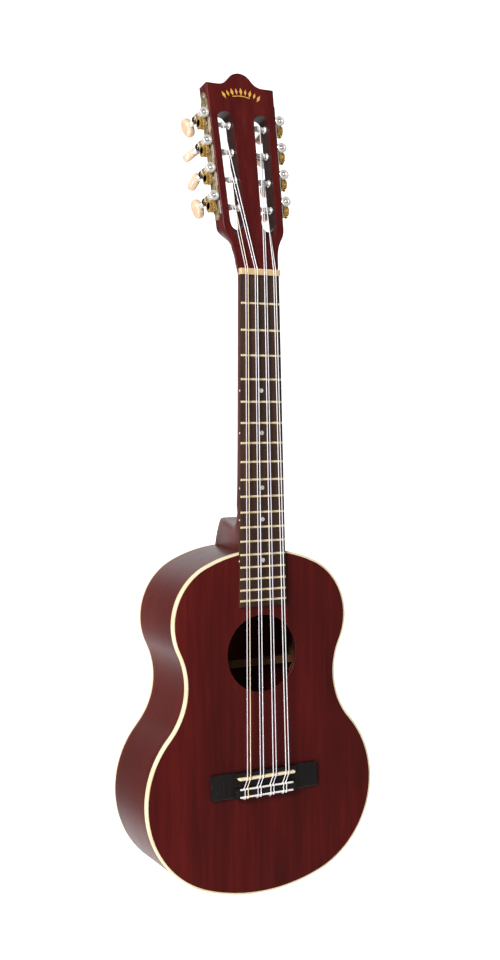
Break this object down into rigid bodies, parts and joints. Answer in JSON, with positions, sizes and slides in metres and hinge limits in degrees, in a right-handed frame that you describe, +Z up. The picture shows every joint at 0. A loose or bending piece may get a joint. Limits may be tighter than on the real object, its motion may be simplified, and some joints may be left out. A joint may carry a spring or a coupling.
{
  "type": "tenor ukulele with double strings",
  "caption": "Small guitar-shaped instrument with double nylon strings, a slotted head with geared tuners, a round sound hole and a tied bridge.",
  "frame": {"origin": "in the neck's throat between the nut and the head's shoulders, on the centre line, where a hanger's two prongs carry the head", "axes": "+X to the treble side, +Y from the strings into the body, +Z up the neck to the head, with the fingerboard's face parallel to the XZ plane"},
  "size_m": [0.2214, 0.0834, 0.7172],
  "materials": {
    "mahogany_top": "satin red-brown stain",
    "mahogany_body": "satin red-brown stain",
    "mahogany_neck": "satin red-brown stain",
    "cream_binding": "polished cream plastic",
    "inner_wood": "bare sanded wood",
    "black_wood": "oiled near-black hardwood",
    "bone": "polished cream",
    "white_strip": "white plastic",
    "rosewood": "oiled dark brown, open pores",
    "fret_wire": "polished nickel brass",
    "pearl_dot": "pale pearl",
    "aged_brass": "aged, engraved",
    "nylon_string": "clear pale nylon",
    "nickel": "polished nickel",
    "cream_button": "swirled cream plastic",
    "gear_brass": "cut brass"
  },
  "bodies": {
    "instrument": {"soundboard": "mahogany_top", "back": "mahogany_body", "side_bass": "mahogany_body", "side_treble": "mahogany_body", "binding_top": "cream_binding", "binding_back": "cream_binding", "neck_block": "inner_wood", "tail_block": "inner_wood", "linings": "inner_wood", "top_braces": "inner_wood", "back_braces": "inner_wood", "bridge_plate": "inner_wood", "bridge": "black_wood", "saddle": "bone", "tie_strips": "white_strip", "neck": "mahogany_neck", "headstock": "mahogany_neck", "fingerboard": "rosewood", "frets": "fret_wire", "position_dots": "pearl_dot", "nut": "bone", "tuner_plate_bass": "aged_brass", "tuner_plate_treble": "aged_brass", "plate_screws": "aged_brass", "course_1": "nylon_string", "course_2": "nylon_string", "course_3": "nylon_string", "course_4": "nylon_string"},
    "key_1": {"worm_shaft_1": "nickel", "button_1": "cream_button"},
    "winder_1": {"gear_1": "gear_brass", "roller_1": "nickel"},
    "key_2": {"worm_shaft_2": "nickel", "button_2": "cream_button"},
    "winder_2": {"gear_2": "gear_brass", "roller_2": "nickel"},
    "key_3": {"worm_shaft_3": "nickel", "button_3": "cream_button"},
    "winder_3": {"gear_3": "gear_brass", "roller_3": "nickel"},
    "key_4": {"worm_shaft_4": "nickel", "button_4": "cream_button"},
    "winder_4": {"gear_4": "gear_brass", "roller_4": "nickel"},
    "key_5": {"worm_shaft_5": "nickel", "button_5": "cream_button"},
    "winder_5": {"gear_5": "gear_brass", "roller_5": "nickel"},
    "key_6": {"worm_shaft_6": "nickel", "button_6": "cream_button"},
    "winder_6": {"gear_6": "gear_brass", "roller_6": "nickel"},
    "key_7": {"worm_shaft_7": "nickel", "button_7": "cream_button"},
    "winder_7": {"gear_7": "gear_brass", "roller_7": "nickel"},
    "key_8": {"worm_shaft_8": "nickel", "button_8": "cream_button"},
    "winder_8": {"gear_8": "gear_brass", "roller_8": "nickel"}
  },
  "joints": [
    {"name": "key_1_turn", "type": "hinge", "parent": "instrument", "child": "key_1", "pos_m": [-0.0351, 0.01019, 0.05298], "axis": [0, 0.9829, -0.184], "continuous": true},
    {"name": "roller_1_turn", "type": "hinge", "parent": "instrument", "child": "winder_1", "pos_m": [-0.03488, 0.00876, 0.04531], "axis": [-0.9996, -0.005, -0.027], "continuous": true},
    {"name": "key_2_turn", "type": "hinge", "parent": "instrument", "child": "key_2", "pos_m": [-0.03578, 0.01476, 0.07739], "axis": [0, 0.9829, -0.184], "continuous": true},
    {"name": "roller_2_turn", "type": "hinge", "parent": "instrument", "child": "winder_2", "pos_m": [-0.03556, 0.01333, 0.06973], "axis": [-0.9996, -0.005, -0.027], "continuous": true},
    {"name": "key_3_turn", "type": "hinge", "parent": "instrument", "child": "key_3", "pos_m": [-0.03646, 0.01933, 0.10181], "axis": [0, 0.9829, -0.184], "continuous": true},
    {"name": "roller_3_turn", "type": "hinge", "parent": "instrument", "child": "winder_3", "pos_m": [-0.03624, 0.0179, 0.09415], "axis": [-0.9996, -0.005, -0.027], "continuous": true},
    {"name": "key_4_turn", "type": "hinge", "parent": "instrument", "child": "key_4", "pos_m": [-0.03714, 0.0239, 0.12623], "axis": [0, 0.9829, -0.184], "continuous": true},
    {"name": "roller_4_turn", "type": "hinge", "parent": "instrument", "child": "winder_4", "pos_m": [-0.03693, 0.02247, 0.11856], "axis": [-0.9996, -0.005, -0.027], "continuous": true},
    {"name": "key_5_turn", "type": "hinge", "parent": "instrument", "child": "key_5", "pos_m": [0.03714, 0.0239, 0.12623], "axis": [0, 0.9829, -0.184], "continuous": true},
    {"name": "roller_5_turn", "type": "hinge", "parent": "instrument", "child": "winder_5", "pos_m": [0.03693, 0.02247, 0.11856], "axis": [0.9996, -0.005, -0.027], "continuous": true},
    {"name": "key_6_turn", "type": "hinge", "parent": "instrument", "child": "key_6", "pos_m": [0.03646, 0.01933, 0.10181], "axis": [0, 0.9829, -0.184], "continuous": true},
    {"name": "roller_6_turn", "type": "hinge", "parent": "instrument", "child": "winder_6", "pos_m": [0.03624, 0.0179, 0.09415], "axis": [0.9996, -0.005, -0.027], "continuous": true},
    {"name": "key_7_turn", "type": "hinge", "parent": "instrument", "child": "key_7", "pos_m": [0.03578, 0.01476, 0.07739], "axis": [0, 0.9829, -0.184], "continuous": true},
    {"name": "roller_7_turn", "type": "hinge", "parent": "instrument", "child": "winder_7", "pos_m": [0.03556, 0.01333, 0.06973], "axis": [0.9996, -0.005, -0.027], "continuous": true},
    {"name": "key_8_turn", "type": "hinge", "parent": "instrument", "child": "key_8", "pos_m": [0.0351, 0.01019, 0.05298], "axis": [0, 0.9829, -0.184], "continuous": true},
    {"name": "roller_8_turn", "type": "hinge", "parent": "instrument", "child": "winder_8", "pos_m": [0.03488, 0.00876, 0.04531], "axis": [0.9996, -0.005, -0.027], "continuous": true}
  ],
  "couplings": [
    {"joint": "roller_1_turn", "follows": "key_1_turn", "ratio": 0.071429},
    {"joint": "roller_2_turn", "follows": "key_2_turn", "ratio": 0.071429},
    {"joint": "roller_3_turn", "follows": "key_3_turn", "ratio": 0.071429},
    {"joint": "roller_4_turn", "follows": "key_4_turn", "ratio": 0.071429},
    {"joint": "roller_5_turn", "follows": "key_5_turn", "ratio": 0.071429},
    {"joint": "roller_6_turn", "follows": "key_6_turn", "ratio": 0.071429},
    {"joint": "roller_7_turn", "follows": "key_7_turn", "ratio": 0.071429},
    {"joint": "roller_8_turn", "follows": "key_8_turn", "ratio": 0.071429}
  ]
}
